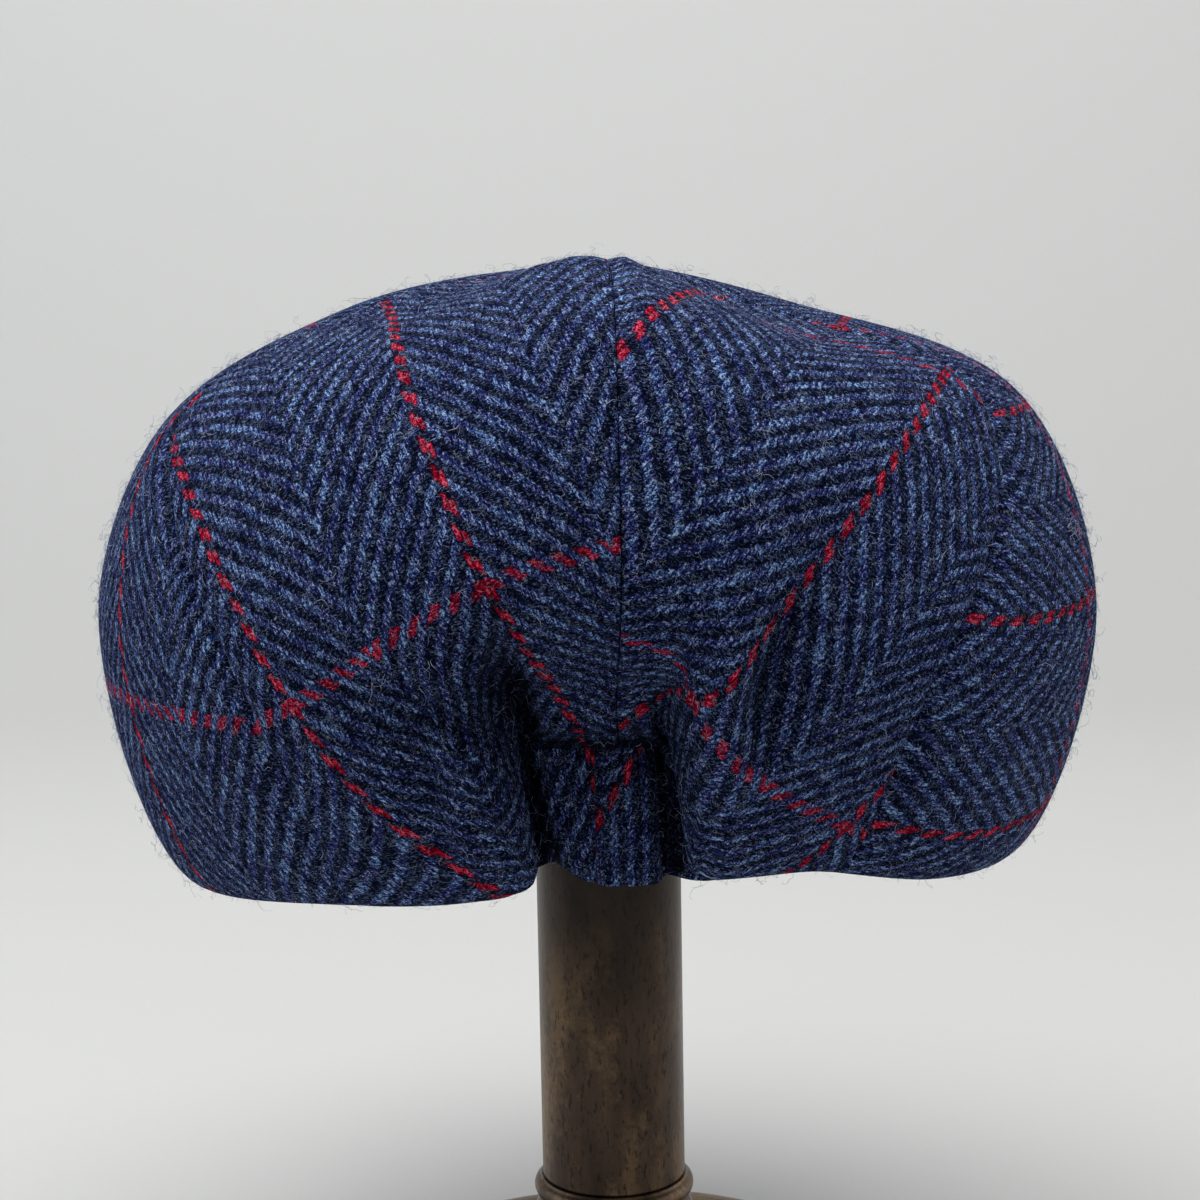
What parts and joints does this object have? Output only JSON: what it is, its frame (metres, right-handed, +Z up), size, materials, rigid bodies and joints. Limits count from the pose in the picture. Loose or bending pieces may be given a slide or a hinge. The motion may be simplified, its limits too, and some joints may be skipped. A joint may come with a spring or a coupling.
{
  "type": "flat cap on hat stand",
  "caption": "Soft panelled flat cap in navy herringbone wool with a red windowpane check, gathered into a band at the back, resting on a turned round post stand.",
  "frame": {"origin": "middle of the underside of the stand's base, on the post's axis", "axes": "+Z up along the post, +Y towards the peak at the front of the cap, +X towards the wearer's right hand side"},
  "size_m": [0.2698, 0.2872, 0.3098],
  "materials": {
    "tweed": "navy and black herringbone tweed with red windowpane lines, woolly",
    "bronzed_wood": "dark brown with worn golden patches, satin"
  },
  "bodies": {
    "root": {"crown_back_left": "tweed", "crown_back_right": "tweed", "crown_side_back_left": "tweed", "crown_side_back_right": "tweed", "crown_side_front_left": "tweed", "crown_side_front_right": "tweed", "crown_front_left": "tweed", "crown_front_right": "tweed", "head_band": "tweed", "peak": "tweed", "stand_base": "bronzed_wood", "stand_collar": "bronzed_wood", "stand_post": "bronzed_wood", "stand_dome": "bronzed_wood"}
  },
  "joints": []
}
